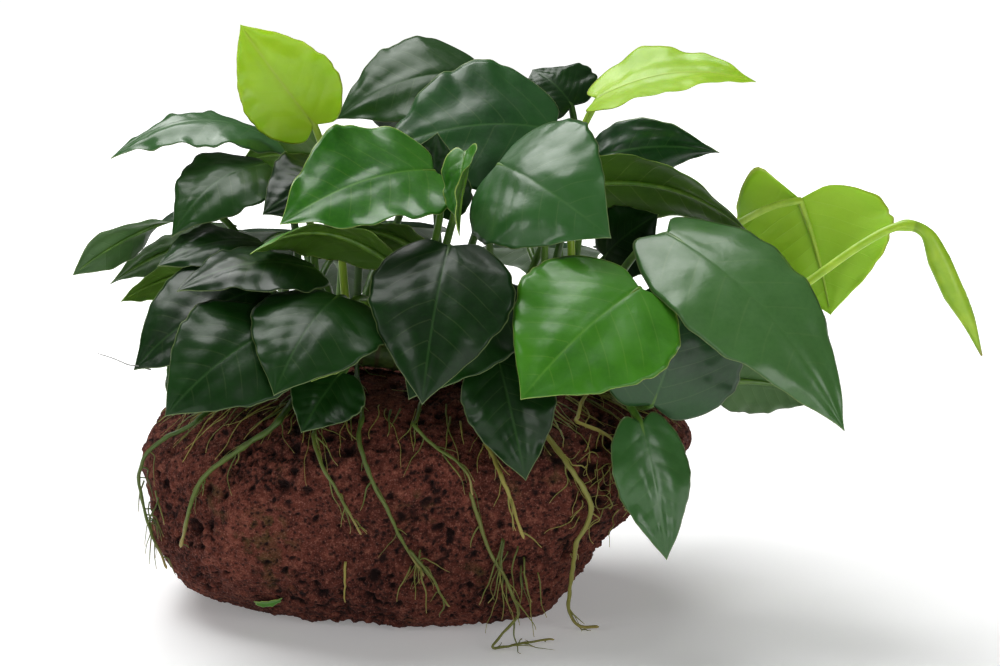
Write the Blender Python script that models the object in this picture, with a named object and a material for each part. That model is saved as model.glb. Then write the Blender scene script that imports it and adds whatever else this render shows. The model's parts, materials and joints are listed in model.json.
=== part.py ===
"""Dwarf anubias grown onto a loose lump of lava stone.

Metres, +Z up. The origin is the middle of the stone's worn-flat underside. +X runs along
the stone's long side, and most leaves lean over the side that faces -Y.
"""
from math import cos, exp, pi, radians, sin
from typing import NamedTuple

import bmesh
import bpy
from mathutils import Quaternion, Vector, noise
from mathutils.bvhtree import BVHTree

# ---------------------------------------------------------------- driving dimensions
MM = 0.001
STONE_LENGTH = 203 * MM
STONE_DEPTH = 136 * MM
STONE_HEIGHT = 80 * MM
STONE_MIDDLE_X = 4 * MM
STONE_LUMP = 7 * MM          # height of the stone's broad lumps
STONE_LUMP_SIZE = 42 * MM    # distance between them
STONE_LUMP_PLACE = Vector((3.1, 1.7, 5.2))   # which of the noise's lumps the stone has
STONE_KNOB_SHARE = 0.5       # height of the smaller lumps, as a share of the broad ones
STONE_KNOB_STEP = 2.3        # how many of them fit in the space of a broad one
STONE_ROUNDING = 3           # exponent of its rounded block: 2 is an ellipsoid, more is squarer
RIGHT_UNDERCUT = 0.98        # how far the underside of the +X end is worn away
LEFT_UNDERCUT = 0.22         # and that of the -X end
UNDERCUT_TOP = 0.50          # where both start, as a share of the half height
STONE_TAPER = 0.30           # how far the front and back draw in towards the underside
STONE_SUNK = 10 * MM         # how much of the rounded underside is worn flat

RHIZOME_RADIUS = 5.2 * MM
RHIZOME_SWELL = 0.5 * MM     # swelling at each leaf scar
RHIZOME_SCAR_STEP = 9 * MM
RHIZOME_TIP = 0.7            # radius of the growing end, as a share of the rest
RHIZOME_SIDES = 8

STALK_RADIUS = 1.35 * MM
STALK_FOOT = 1.15            # radius at the foot and at the blade, as shares of that
STALK_NECK = 0.90
STALK_BEND = 0.36            # how stiffly a stalk leaves both ends before it bends
STALK_LEAN = 0.8             # a stalk sets off partly towards its blade
STALK_RISE = 0.5             # and partly straight up
NECK_STRAIGHT = 0.6          # and meets the blade partly in its own line,
NECK_FORWARD = 0.5           # partly in the blade's,
NECK_UP = 0.3                # and partly from below
BLADE_THICKNESS = 1.0 * MM
BLADE_THINNING = 0.4         # how much thinner the blade is at its tip
BLADE_FULLNESS = 0.8         # exponent of the outline: less is rounder
BLADE_STATIONS = (0.03, 0.15, 0.36, 0.60, 0.82, 0.95)
BLADE_WIDEST = 0.625         # exponent that puts the widest place at a third of the length
LOBE_SWEEP = 0.13            # how far the basal lobes reach back, as a share of the length
LOBE_FADE = 0.12             # how soon along the midrib that sweep dies away
STALK_RINGS = 3
LEAF_SIDES = 8               # points around a stalk and around a blade
MIDRIB_DEPTH = 2.0           # how far the midrib stands out below, in half thicknesses of the blade
SIZES_ASIDE = (2, 4, 6, 8, 10, 12, 15, 18)   # moves that make way for a neighbour, mm or degrees

ROOT_SIDES = 5
ROOT_TAPER = 0.45            # how much thinner a root is at its end
ROOT_STEP = 8 * MM
ROOT_LIFT_TRIES = 12
GAP = 0.4 * MM               # clear space between neighbouring pieces

# Colours and roughness of each kind of piece.
FINISHES = {
    "stone": ((0.100, 0.028, 0.019), 0.90),
    "rhizome": ((0.110, 0.200, 0.030), 0.55),
    "root": ((0.220, 0.300, 0.060), 0.60),
    "leaf_dark": ((0.006, 0.045, 0.012), 0.30),
    "leaf_mid": ((0.020, 0.100, 0.035), 0.30),
    "leaf_fresh": ((0.040, 0.230, 0.015), 0.32),
    "leaf_young": ((0.330, 0.620, 0.020), 0.38),
}


class Leaf(NamedTuple):
    """One leaf: where it grows, how its stalk leans and how its blade is held."""
    name: str
    age: str         # its finish: dark, mid, fresh or young
    stem: str        # the rhizome that it grows from
    at: float        # place along that rhizome, from 0 to 1
    stalk: tuple     # from the rhizome to the blade's base, mm
    blade: tuple     # from the blade's base to its tip, mm
    width: float     # greatest width of the blade, mm
    face: tuple      # where the upper side looks: degrees right of -Y, degrees up
    arch: float = 0.12   # rise of the midrib over its chord, as a share of the length
    fold: float = 0.0    # lift of the edges over the midrib, as a share of the half width
    twist: float = 0.0   # turn of the blade from base to tip, degrees
    ear: float = 0.0     # how much further one basal lobe reaches back than the other


MAIN = "rhizome"
LEFT = "rhizome_fork_left"
RIGHT = "rhizome_fork_right"

# The most open leaves come first: a later leaf makes way for those already there.
LEAVES = (
    # the big leaves that lean over the front
    Leaf("front_right", "mid", MAIN, 0.90, (25, -28, 47), (54, -37, -58), 46, (14, 42), 0.14, -0.10),
    Leaf("front_heart", "fresh", MAIN, 0.74, (36, -50, 32), (-38, -26, -31), 56, (-8, 36), 0.10, -0.08),
    Leaf("front_glossy", "dark", MAIN, 0.50, (6, -45, 45), (-8, -28, -46), 46, (-4, 26), 0.15, -0.12),
    Leaf("centre", "mid", MAIN, 0.66, (2, -8, 68), (36, -36, -20), 52, (-20, 30), 0.16, -0.12),
    Leaf("top_large", "mid", MAIN, 0.70, (16, 14, 76), (-58, -22, -8), 54, (-6, 36), 0.16, -0.10),
    Leaf("bright_wavy", "fresh", MAIN, 0.44, (8, -22, 66), (-48, -30, -14), 46, (-6, 42), 0.12, 0.08),
    Leaf("top_lime", "young", MAIN, 0.28, (-12, 10, 76), (-24, -4, 34), 34, (-12, 15), 0.08, 0.12),
    Leaf("right_lime", "young", MAIN, 0.86, (9, 18, 86), (54, -6, 6), 38, (0, 68), 0.12, 0.10),
    Leaf("far_right_lime", "young", MAIN, 0.97, (64, 8, 57), (13, 12, -42), 54, (168, 28), 0.1, 0.1, ear=3.4),
    Leaf("right_arched", "fresh", MAIN, 0.79, (5, 6, 58), (60, -22, -14), 34, (176, 48), 0.15, -0.10),
    Leaf("right_behind", "mid", MAIN, 0.84, (22, -46, -2), (13, 10, 44), 50, (14, 10), 0.10, -0.12),
    Leaf("hanging_right", "mid", MAIN, 0.80, (29, -58, -5), (8, -10, -43), 26, (14, 6), 0.06, -0.20),
    Leaf("hanging_centre", "dark", MAIN, 0.61, (8, -51, 12), (9, -13, -38), 30, (4, 10), 0.10, -0.15),
    Leaf("long_left", "mid", MAIN, 0.21, (-17, 15, 74), (-54, -15, -5), 32, (0, 74), 0.18, -0.18),
    Leaf("left_inner", "dark", MAIN, 0.26, (2, -47, 29), (-18, -32, -26), 44, (-8, 38), 0.14, -0.15),
    Leaf("left_low", "dark", MAIN, 0.17, (-5, -54, 20), (-34, -24, -24), 42, (-8, 30), 0.14, -0.10),
    Leaf("left_outer", "dark", MAIN, 0.10, (4, -40, 31), (-38, -20, -24), 42, (-20, 34), 0.15, -0.10),
    Leaf("twisted_left", "mid", MAIN, 0.08, (-24, -4, 54), (-44, -12, -22), 26, (-20, 50), 0.08, -0.10, 130),
    Leaf("left_upper", "dark", MAIN, 0.15, (-15, 0, 63), (-33, -13, -22), 36, (-25, 42), 0.18, -0.15),
    Leaf("left_small", "dark", MAIN, 0.30, (-18, -10, 60), (-26, -18, -10), 34, (-10, 36), 0.14, -0.15),
    Leaf("green_under_left", "fresh", MAIN, 0.04, (-2, -6, 37), (-42, -14, -9), 30, (178, 45), 0.12, -0.12),
    Leaf("olive_under", "fresh", MAIN, 0.34, (5, -28, 37), (-42, -18, 3), 32, (178, 62), 0.18, -0.18),
    Leaf("left_flat", "dark", MAIN, 0.12, (-9, -18, 42), (-34, -16, -5), 32, (-10, 62), 0.12, -0.18),
    Leaf("left_mid", "dark", MAIN, 0.24, (-2, -32, 34), (-42, -22, -4), 34, (-4, 68), 0.12, -0.15),
    Leaf("front_behind", "dark", MAIN, 0.56, (14, -30, 34), (-28, -28, -34), 44, (-12, 25), 0.12, -0.10),
    Leaf("top_back", "dark", MAIN, 0.54, (9, 36, 94), (-48, -12, -15), 42, (-15, 42), 0.16, -0.10),
    Leaf("small_twisted", "fresh", MAIN, 0.47, (9, -36, 68), (-6, -15, -25), 17, (-30, 20), 0.06, 0.30, 80),
    Leaf("right_low_pale", "mid", MAIN, 0.99, (36, -5, -2), (33, 2, -7), 30, (175, 25), 0.10, 0.08),
    Leaf("right_small", "dark", RIGHT, 0.15, (24, -8, 38), (18, -4, 15), 28, (15, 45), 0.10, -0.08),
    Leaf("edge_green", "fresh", MAIN, 0.37, (-12, -50, 22), (-9, -10, -20), 22, (160, 8), 0.08, 0.15),
    Leaf("low_front", "dark", MAIN, 0.32, (-5, -54, 3), (-12, -12, -17), 25, (-10, 16), 0.10, -0.10),
    Leaf("folded_left", "mid", MAIN, 0.02, (-4, -46, 18), (-20, -10, -24), 30, (-45, 15), 0.10, 0.20),
    Leaf("centre_dark", "dark", MAIN, 0.52, (4, -2, 50), (1, -6, 28), 28, (-20, 18), 0.08, -0.08),
    Leaf("centre_under", "fresh", MAIN, 0.40, (10, -18, 44), (-30, -5, 8), 28, (178, 60), 0.10, -0.10),
    # leaves of the two forks, mostly behind
    Leaf("right_twisted", "mid", RIGHT, 0.55, (6, 14, 61), (50, -12, 6), 24, (0, 62), 0.10, -0.15, 110),
    Leaf("top_small", "dark", RIGHT, 0.35, (10, 16, 82), (-14, 10, 12), 34, (20, 32), 0.12, -0.08),
    Leaf("pale_back", "mid", RIGHT, 0.75, (2, 22, 58), (-22, 1, 10), 30, (170, 18), 0.10, 0.08),
    Leaf("backlit_left", "fresh", LEFT, 0.40, (-4, 12, 64), (-32, 9, -1), 32, (180, 36), 0.12, 0.10),
    Leaf("pale_left", "mid", LEFT, 0.85, (-26, -2, 42), (-41, -11, -17), 24, (180, 54), 0.08, -0.08),
    Leaf("back_left", "dark", LEFT, 0.70, (-8, 26, 38), (-26, 34, -24), 42, (200, 48), 0.14, -0.10),
    Leaf("back_middle", "dark", LEFT, 0.20, (10, 40, 38), (-6, 42, -22), 46, (184, 50), 0.14, -0.10),
    Leaf("back_right", "mid", RIGHT, 0.65, (-8, 28, 32), (10, 44, -24), 46, (170, 48), 0.14, -0.10),
    Leaf("back_far_right", "dark", RIGHT, 0.95, (18, 18, 34), (36, 30, -24), 42, (130, 50), 0.14, -0.10),
    Leaf("back_low", "dark", LEFT, 0.95, (10, 22, 30), (4, 38, -24), 42, (182, 45), 0.12, -0.10),
    Leaf("back_top", "dark", LEFT, 0.08, (22, 38, 76), (-8, 44, -16), 46, (180, 52), 0.14, -0.10),
)

# Plan of each rhizome, mm: it is laid down on the stone under these points.
RHIZOMES = {
    MAIN: ((-52, -4), (-28, -10), (0, -8), (26, -12), (50, -8), (72, -13)),
    LEFT: ((-14, 2), (-22, 14), (-34, 24), (-42, 34)),
    RIGHT: ((40, 0), (46, 12), (54, 24), (56, 36)),
}


class Root(NamedTuple):
    """One root: how thick it is and the points that it passes."""
    name: str
    radius: float    # mm
    clings: tuple    # points near the stone, mm, drawn onto its surface
    hangs: tuple = ()    # points in the open, mm, that it passes after those


ROOTS = (
    Root("left_edge", 1.0, ((-74, -38, 74), (-88, -36, 62), (-95, -34, 46), (-95, -34, 28), (-88, -36, 12))),
    Root("left_front", 1.3,
         ((-44, -58, 78), (-56, -58, 68), (-68, -56, 55), (-74, -54, 41), (-77, -50, 30))),
    Root("front_short", 0.8, ((-29, -64, 72), (-25, -66, 62), (-19, -66, 50), (-14, -66, 38))),
    Root("front_long", 1.0, ((-14, -60, 80), (-13, -66, 66), (-6, -68, 50), (-1, -66, 36), (6, -62, 24))),
    Root("front_fork", 0.7, ((3, -64, 32), (9, -60, 24), (14, -56, 14))),
    Root("middle_dark", 0.8, ((4, -60, 74), (12, -64, 69), (20, -66, 62), (22, -66, 52))),
    Root("pale_thick", 1.1, ((27, -60, 70),), ((31, -70, 60), (35, -72, 50), (38, -72, 40))),
    Root("trailing", 0.8, ((24, -60, 44), (27, -60, 34)),
         ((33, -62, 22), (37, -62, 12), (31, -64, 5), (29, -66, 1.4), (38, -62, 1.3), (48, -56, 1.3))),
    Root("right_long", 1.2, ((44, -54, 72), (50, -54, 60)),
         ((56, -56, 50), (55, -56, 36), (54, -52, 20), (54, -48, 8), (57, -44, 2), (63, -44, 1.7))),
    Root("right_pale", 0.8, ((56, -50, 74), (62, -50, 66), (66, -48, 56))),
)

# Middle line of the rolled new leaf, mm: a long stalk, then the furled blade hanging down.
ROLLED_STALK = ((74, -16, 88), (92, -25, 91), (110, -31, 99),
                (129, -35, 114), (149, -37, 129), (161, -38, 135))
ROLLED_BLADE = ((169, -39, 133), (174, -39, 124), (179, -40, 113), (184, -41, 103))
ROLLED_TIP = (188, -42, 93)
ROLLED_NARROWEST = 1.4 * MM  # radius of the furled blade at its ends
ROLLED_WIDEST = 4.0 * MM     # and at its middle
ROLLED_ENDS = 0.08           # how far into that swelling the first and last rings lie
ROLLED_SIDES = 6


# ---------------------------------------------------------------- general shapes
def remove_everything():
    for thing in list(bpy.data.objects):
        bpy.data.objects.remove(thing, do_unlink=True)


def finish_material(name):
    """The material of one kind of piece, made the first time it is asked for."""
    material = bpy.data.materials.get(name)
    if material is None:
        colour, roughness = FINISHES[name]
        material = bpy.data.materials.new(name)
        material.use_nodes = True
        shader = material.node_tree.nodes["Principled BSDF"]
        shader.inputs["Base Color"].default_value = (*colour, 1.0)
        shader.inputs["Roughness"].default_value = roughness
    return material


def add_object(name, shape, finish):
    """Turn a bmesh into a named object."""
    mesh = bpy.data.meshes.new(name)
    shape.to_mesh(mesh)
    mesh.shade_smooth()
    mesh.materials.append(finish_material(finish))
    thing = bpy.data.objects.new(name, mesh)
    bpy.context.scene.collection.objects.link(thing)
    return thing


def loft(rings, tip, mirrored=()):
    """A closed skin through rings of equally many points, from a cap to a tip.

    Every four-sided patch is cut along the same diagonal, and along the other one in the
    mirrored strips, so that the two sides of a thin blade fold at the same places.
    """
    shape = bmesh.new()
    rows = [[shape.verts.new(point) for point in ring] for ring in rings]
    pole = shape.verts.new(tip)
    count = len(rows[0])
    shape.faces.new(list(reversed(rows[0])))
    for row, following in zip(rows, rows[1:]):
        for k in range(count):
            n = (k + 1) % count
            if k in mirrored:
                shape.faces.new((row[k], row[n], following[k]))
                shape.faces.new((row[n], following[n], following[k]))
            else:
                shape.faces.new((row[k], row[n], following[n]))
                shape.faces.new((row[k], following[n], following[k]))
    for k in range(count):
        shape.faces.new((rows[-1][k], rows[-1][(k + 1) % count], pole))
    bmesh.ops.triangulate(shape, faces=[face for face in shape.faces if len(face.verts) > 3])
    if shape.calc_volume(signed=True) < 0:
        bmesh.ops.reverse_faces(shape, faces=shape.faces)
    return shape


def smooth_route(points, step):
    """Points about a step apart on a smooth curve through the given points."""
    ends = [points[0] * 2 - points[1], *points, points[-1] * 2 - points[-2]]
    route = []
    for a, b, c, d in zip(ends, ends[1:], ends[2:], ends[3:]):
        pieces = max(1, round((c - b).length / step))
        for i in range(pieces):
            t = i / pieces
            route.append(0.5 * (2 * b + (c - a) * t + (2 * a - 5 * b + 4 * c - d) * t ** 2
                                + (3 * b - 3 * c + d - a) * t ** 3))
    route.append(points[-1])
    return route


def tangents(points):
    """Unit direction of travel at each point."""
    before = [points[0], *points[:-1]]
    after = [*points[1:], points[-1]]
    return [(b - a).normalized() for a, b in zip(before, after)]


def tube(points, radii, sides, tip=None):
    """A tapered round tube that runs to a tip, or else to a short point, at its far end."""
    along = tangents(points)
    across = along[0].orthogonal().normalized()
    rings = []
    for i, (point, radius) in enumerate(zip(points, radii)):
        if i:
            across = along[i - 1].rotation_difference(along[i]) @ across
        ring = []
        for k in range(sides):
            turn = Quaternion(along[i], 2 * pi * k / sides)
            ring.append(point + turn @ across * radius)
        rings.append(ring)
    return loft(rings, tip or points[-1] + along[-1] * radii[-1])


# ---------------------------------------------------------------- room for each piece
class Room:
    """Keeps what is already placed, to tell whether a new shape is clear of it."""

    def __init__(self):
        self.placed = []

    def add(self, shape):
        self.placed.append(BVHTree.FromBMesh(shape))

    def is_clear(self, shape):
        swollen = shape.copy()
        swollen.normal_update()
        moves = [vert.normal * GAP for vert in swollen.verts]
        for vert, move in zip(swollen.verts, moves):
            vert.co += move
        tree = BVHTree.FromBMesh(swollen)
        swollen.free()
        return not any(tree.overlap(other) for other in self.placed)


# ---------------------------------------------------------------- stone
def stone_shape():
    """A lumpy block with a flat underside and an undercut +X end."""
    shape = bmesh.new()
    bmesh.ops.create_icosphere(shape, subdivisions=3, radius=1.0)
    half = Vector((STONE_LENGTH / 2, STONE_DEPTH / 2, (STONE_HEIGHT + STONE_SUNK) / 2))
    for vert in shape.verts:
        way = vert.co.normalized()
        squareness = sum(abs(part) ** STONE_ROUNDING for part in way) ** (-1 / STONE_ROUNDING)
        point = Vector([way[i] * squareness * half[i] for i in range(3)])
        low = max(0.0, (UNDERCUT_TOP - way.z) / (UNDERCUT_TOP + 1))
        undercut = RIGHT_UNDERCUT * max(0.0, way.x) + LEFT_UNDERCUT * max(0.0, -way.x)
        point.x *= 1 - undercut * low
        point.y *= 1 - STONE_TAPER * low
        lump = noise.noise(point / STONE_LUMP_SIZE + STONE_LUMP_PLACE)
        lump += STONE_KNOB_SHARE * noise.noise(point / STONE_LUMP_SIZE * STONE_KNOB_STEP)
        point += way * lump * STONE_LUMP
        point.x += STONE_MIDDLE_X
        point.z += (STONE_HEIGHT - STONE_SUNK) / 2
        vert.co = point
    for vert in shape.verts:
        vert.co.z = max(vert.co.z, 0.0)
    bmesh.ops.recalc_face_normals(shape, faces=shape.faces)
    return shape


def onto_stone(stone, point, lift):
    """The place at a given height over the stone's surface that is nearest to a point."""
    spot, normal, _, _ = stone.find_nearest(point)
    return spot + normal * lift


def clear_of_stone(stone, point, lift):
    """The point itself, or moved out where it is nearer to the stone than the lift."""
    spot, normal, _, _ = stone.find_nearest(point)
    if (point - spot).dot(normal) < lift:
        return spot + normal * lift
    return point


# ---------------------------------------------------------------- rhizome and roots
def rhizome_route(stone, plan):
    """The middle line of a rhizome that lies on top of the stone."""
    lift = RHIZOME_RADIUS + RHIZOME_SWELL + GAP
    over = []
    for x, y in plan:
        spot, _, _, _ = stone.ray_cast(Vector((x * MM, y * MM, 1)), Vector((0, 0, -1)))
        over.append(spot + Vector((0, 0, lift)))
    route = smooth_route(over, RHIZOME_SCAR_STEP / 2)
    return [clear_of_stone(stone, point, lift) for point in route]


def rhizome_shape(route):
    """A stem with a slight swelling at every other ring, where a leaf once grew."""
    radii = [RHIZOME_RADIUS + RHIZOME_SWELL * (i % 2) for i in range(len(route))]
    radii[-1] *= RHIZOME_TIP
    return tube(route, radii, RHIZOME_SIDES)


def root_shape(stone, root, lift):
    radius = root.radius * MM
    on = [onto_stone(stone, Vector(point) * MM, lift) for point in root.clings]
    off = [Vector(point) * MM for point in root.hangs]
    route = smooth_route(on + off, ROOT_STEP)
    route = [clear_of_stone(stone, point, lift) for point in route]
    last = len(route) - 1
    radii = [radius * (1 - ROOT_TAPER * i / last) for i in range(last + 1)]
    return tube(route, radii, ROOT_SIDES)


def grow_root(stone, root, room):
    """The root as close to the stone as the stone's lumps let it lie."""
    for step in range(ROOT_LIFT_TRIES):
        lift = root.radius * MM + GAP * (2 + step)
        shape = root_shape(stone, root, lift)
        if room.is_clear(shape):
            return shape
        shape.free()
    raise RuntimeError("no room for root_" + root.name)


# ---------------------------------------------------------------- leaves
def stem_point(route, at):
    """The place at a share of the way along a rhizome."""
    place = at * (len(route) - 1)
    i = min(int(place), len(route) - 2)
    return route[i].lerp(route[i + 1], place - i)


def facing(azimuth, elevation):
    """Unit vector that looks so many degrees right of -Y and so many degrees up."""
    a = radians(azimuth)
    e = radians(elevation)
    return Vector((sin(a) * cos(e), -cos(a) * cos(e), sin(e)))


def midrib(base, reach, rise, s):
    """Point and direction on the arched midrib at a share s of its length."""
    point = base + reach * s + rise * (4 * s * (1 - s))
    return point, (reach + rise * (4 - 8 * s)).normalized()


def half_width(s):
    """Share of the greatest half width at a share s of the blade's length."""
    return sin(pi * s ** BLADE_WIDEST) ** BLADE_FULLNESS


def blade_ring(leaf, point, along, up, s, length):
    """Eight points around the blade: edge, three above, edge, three below."""
    across = along.cross(up).normalized()
    half = leaf.width * MM / 2 * half_width(s)
    sweep = LOBE_SWEEP * length * exp(-s / LOBE_FADE)
    skin = BLADE_THICKNESS / 2 * (1 - BLADE_THINNING * s)
    ring = []
    above = ((-1, 0), (-0.5, 1), (0, 1), (0.5, 1))
    below = ((1, 0), (0.5, -1), (0, -MIDRIB_DEPTH), (-0.5, -1))
    for u, side in above + below:
        height = leaf.fold * half * u * u + side * skin
        lobe = sweep * (1 + leaf.ear * max(0.0, -u))
        ring.append(point + across * (u * half) + up * height - along * (lobe * u * u))
    return ring


def stalk_ring(point, along, up, radius):
    across = along.cross(up).normalized()
    ring = []
    for k in range(LEAF_SIDES):
        a = pi - 2 * pi * k / LEAF_SIDES
        ring.append(point + across * (cos(a) * radius) + up * (sin(a) * radius))
    return ring


def leaf_shape(leaf, route, shift, bow):
    """Stalk and blade in one skin, with the blade's base moved by a shift."""
    root = stem_point(route, leaf.at)
    base = root + Vector(leaf.stalk) * MM + shift
    reach = Vector(leaf.blade) * MM
    length = reach.length
    forward = reach.normalized()
    up = facing(*leaf.face)
    up = (up - forward * up.dot(forward)).normalized()
    rise = up * (leaf.arch * length)

    stalk = base - root
    start = (stalk.normalized() * STALK_LEAN + Vector((0, 0, STALK_RISE))).normalized()
    finish = (stalk.normalized() * NECK_STRAIGHT + forward * NECK_FORWARD + up * NECK_UP).normalized()
    foot = root + start * (RHIZOME_RADIUS + RHIZOME_SWELL + STALK_RADIUS + 2 * GAP)
    handle = (base - foot).length * STALK_BEND
    a = foot + start * handle + bow
    b = base - finish * handle + bow

    # frames are carried back from the blade's base, so the skin never spins
    _, along = midrib(base, reach, rise, 0)
    face = (up - along * up.dot(along)).normalized()
    rings = []
    for i in range(STALK_RINGS, -1, -1):
        t = i / STALK_RINGS
        point = foot * (1 - t) ** 3 + a * (3 * t * (1 - t) ** 2) + b * (3 * t * t * (1 - t)) + base * t ** 3
        way = ((a - foot) * (1 - t) ** 2 + (b - a) * (2 * t * (1 - t)) + (base - b) * t ** 2).normalized()
        face = (along.rotation_difference(way) @ face).normalized()
        along = way
        radius = STALK_RADIUS * (STALK_FOOT + (STALK_NECK - STALK_FOOT) * t)
        rings.insert(0, stalk_ring(point, way, face, radius))

    for s in BLADE_STATIONS:
        point, along = midrib(base, reach, rise, s)
        top = (up - along * up.dot(along)).normalized()
        top = Quaternion(along, radians(leaf.twist) * s) @ top
        rings.append(blade_ring(leaf, point, along, top, s, length))
    return loft(rings, base + reach, mirrored=range(LEAF_SIDES // 2, LEAF_SIDES))


def ways_aside():
    """Small moves of a blade's base, of its stalk's bow and of its bearing, the smallest first."""
    yield Vector(), Vector(), 0
    sides = [Vector((x, y, z)).normalized() for x in (0, 1, -1) for y in (0, 1, -1) for z in (0, 1, -1)]
    for size in SIZES_ASIDE:
        for swing in (0, size, -size, 2 * size, -2 * size):
            for side in sides:
                yield side * size * MM, Vector(), swing
                yield side * size * 0.5 * MM, side * size * MM, swing
                yield side * size * 0.5 * MM, side * -size * MM, swing


def grow_leaf(leaf, route, room):
    """The leaf at its own place, or moved aside as little as its neighbours ask for."""
    for shift, bow, swing in ways_aside():
        turned = Quaternion((0, 0, 1), radians(swing)) @ Vector(leaf.blade)
        shape = leaf_shape(leaf._replace(blade=turned), route, shift, bow)
        if room.is_clear(shape):
            return shape
        shape.free()
    raise RuntimeError("no room for leaf_" + leaf.name)


def rolled_leaf_shape():
    """The new leaf, still furled: a thin stalk that swells to a pointed spindle."""
    stalk = [Vector(point) * MM for point in ROLLED_STALK]
    blade = [Vector(point) * MM for point in ROLLED_BLADE]
    radii = [STALK_RADIUS] * len(stalk)
    last = len(blade) - 1
    for i in range(last + 1):
        swell = sin(pi * (ROLLED_ENDS + (1 - 2 * ROLLED_ENDS) * i / last))
        radii.append(ROLLED_NARROWEST + (ROLLED_WIDEST - ROLLED_NARROWEST) * swell)
    return tube(stalk + blade, radii, ROLLED_SIDES, Vector(ROLLED_TIP) * MM)


# ---------------------------------------------------------------- the whole plant
def build():
    remove_everything()
    room = Room()

    def place(name, shape, finish):
        room.add(shape)
        add_object(name, shape, finish)
        shape.free()

    shape = stone_shape()
    stone = BVHTree.FromBMesh(shape)
    place("stone", shape, "stone")
    routes = {}
    for name, plan in RHIZOMES.items():
        routes[name] = rhizome_route(stone, plan)
        place(name, rhizome_shape(routes[name]), "rhizome")
    for root in ROOTS:
        place("root_" + root.name, grow_root(stone, root, room), "root")
    place("leaf_rolled", rolled_leaf_shape(), "leaf_young")
    for leaf in LEAVES:
        place("leaf_" + leaf.name, grow_leaf(leaf, routes[leaf.stem], room), "leaf_" + leaf.age)


build()
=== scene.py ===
"""The looks of the anubias on stone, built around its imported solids.

Leaves, roots and stems are read back from their CAD nodes as rings of points. Each one is made
again on the same curves, with thin veined blades, wavy margins and tapered stalks. The stone
gets its pores and crumbs, and rootlets too fine for the CAD are added. Metres, +Z up.
"""

import json
from math import cos, exp, pi, radians, sin
from typing import NamedTuple

import bmesh
import bpy
import numpy as np
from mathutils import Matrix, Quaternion, Vector, noise
from mathutils.bvhtree import BVHTree


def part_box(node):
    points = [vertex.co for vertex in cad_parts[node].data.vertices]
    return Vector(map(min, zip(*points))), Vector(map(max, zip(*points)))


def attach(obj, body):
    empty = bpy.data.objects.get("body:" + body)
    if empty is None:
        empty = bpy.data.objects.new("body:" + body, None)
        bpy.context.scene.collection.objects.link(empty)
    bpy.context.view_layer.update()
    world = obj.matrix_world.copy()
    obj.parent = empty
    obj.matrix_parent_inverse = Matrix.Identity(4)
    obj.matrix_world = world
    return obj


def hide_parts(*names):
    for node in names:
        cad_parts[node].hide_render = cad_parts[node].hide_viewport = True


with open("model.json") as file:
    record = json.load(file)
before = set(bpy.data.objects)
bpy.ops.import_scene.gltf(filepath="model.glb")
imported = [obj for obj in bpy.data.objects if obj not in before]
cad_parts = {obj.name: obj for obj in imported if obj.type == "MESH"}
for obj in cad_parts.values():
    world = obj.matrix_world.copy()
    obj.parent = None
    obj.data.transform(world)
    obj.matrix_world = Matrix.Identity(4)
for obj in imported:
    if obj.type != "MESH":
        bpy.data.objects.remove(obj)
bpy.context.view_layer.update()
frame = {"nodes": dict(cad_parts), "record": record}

MM = 0.001
WELD = 0.02 * MM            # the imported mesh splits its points, and this joins them again
SLOTS = {part["node"]: part["material_slot"] for part in frame["record"]["subparts"]}

# how the CAD lofts a leaf: the same numbers as its source
LEAF_SIDES = 8
STALK_RINGS = 3
BLADE_STATIONS = (0.03, 0.15, 0.36, 0.60, 0.82, 0.95)
BLADE_WIDEST = 0.625
LOBE_SWEEP = 0.13
LOBE_FADE = 0.12
ROOT_SIDES = 5
RHIZOME_SIDES = 8
ROLLED_SIDES = 6

# finer blades
BLADE_ROWS = 64
BLADE_COLUMNS = 40
COLUMN_CROWDING = 1.35      # above 1, columns gather towards the midrib
SINUS = 0.012               # how soon along the midrib the basal lobes reach full sweep
SKIN = 0.30 * MM            # half the blade's thickness beside the midrib
VEINS = 8
STALK_SIDES = 12
STALK_STEPS = 26
MIDRIB_STEPS = 30

# height of the waves along the margin, mm, where it isn't the usual one
USUAL_WAVE = 0.55
WAVES = {
    "leaf_bright_wavy": 1.7, "leaf_far_right_lime": 1.3, "leaf_top_lime": 0.9, "leaf_right_lime": 0.8,
    "leaf_front_right": 0.9, "leaf_centre": 0.8, "leaf_top_large": 1.0, "leaf_long_left": 0.9,
    "leaf_front_heart": 0.8, "leaf_back_far_right": 1.0, "leaf_back_left": 1.0,
}


# The leaves painted lighter than the others of their age, from 1 (not at all) to 2: painted light for the gloss and
# light that these leaves catch.
TINTS = {
    "leaf_front_right": 1.8, "leaf_hanging_right": 1.5, "leaf_left_upper": 1.3, "leaf_long_left": 1.3,
    "leaf_centre": 1.3, "leaf_top_back": 1.4,
}
GOLDEN = 0.618              # step that spreads the other leaves' tints evenly

# small things that lie about on the clump; places are shares of the stone's width and height
HAIR_STEPS = 24
HAIR_RADIUS = 0.25 * MM
HAIR_REACH = Vector((-16, -4, 6)) * MM
SCRAP_PLACE = (0.22, 0.13)
SCRAP_LENGTH = 11 * MM
STUB_PLACE = (0.38, 0.34)
STUB_LENGTH = 19 * MM
STUB_RADIUS = 0.45 * MM


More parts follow.
